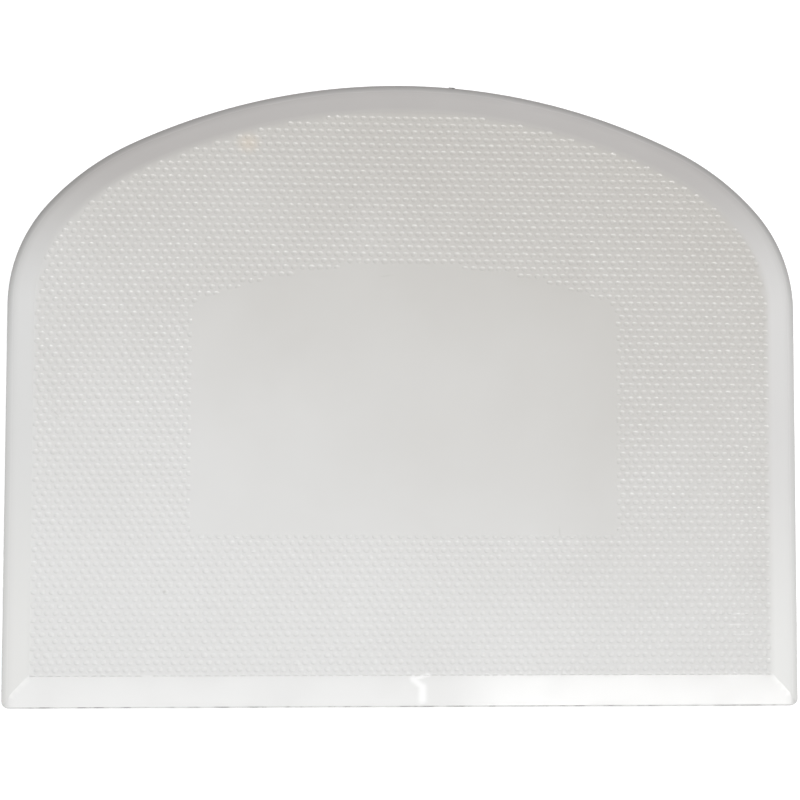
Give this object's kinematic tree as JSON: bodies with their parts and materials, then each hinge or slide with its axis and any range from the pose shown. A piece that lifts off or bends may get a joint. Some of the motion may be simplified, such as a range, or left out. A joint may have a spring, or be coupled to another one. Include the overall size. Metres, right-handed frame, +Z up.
{
  "type": "bench scraper",
  "caption": "Flexible moulded plastic bowl and dough scraper: straight bevelled scraping edge, rounded crown, dotted grip field on both faces around a smooth panel.",
  "frame": {"origin": "on the surface that the scraper lies on, under the middle of its bounding box", "axes": "+X along the straight scraping edge, +Y from the scraping edge towards the rounded crown, +Z up through the thickness"},
  "size_m": [0.12, 0.0946, 0.0022],
  "materials": {
    "milky_plastic": "natural uncoloured milky plastic, faintly translucent, satin with a soft gloss on the bevels"
  },
  "bodies": {
    "root": {"scraper_blade": "milky_plastic"}
  },
  "joints": []
}
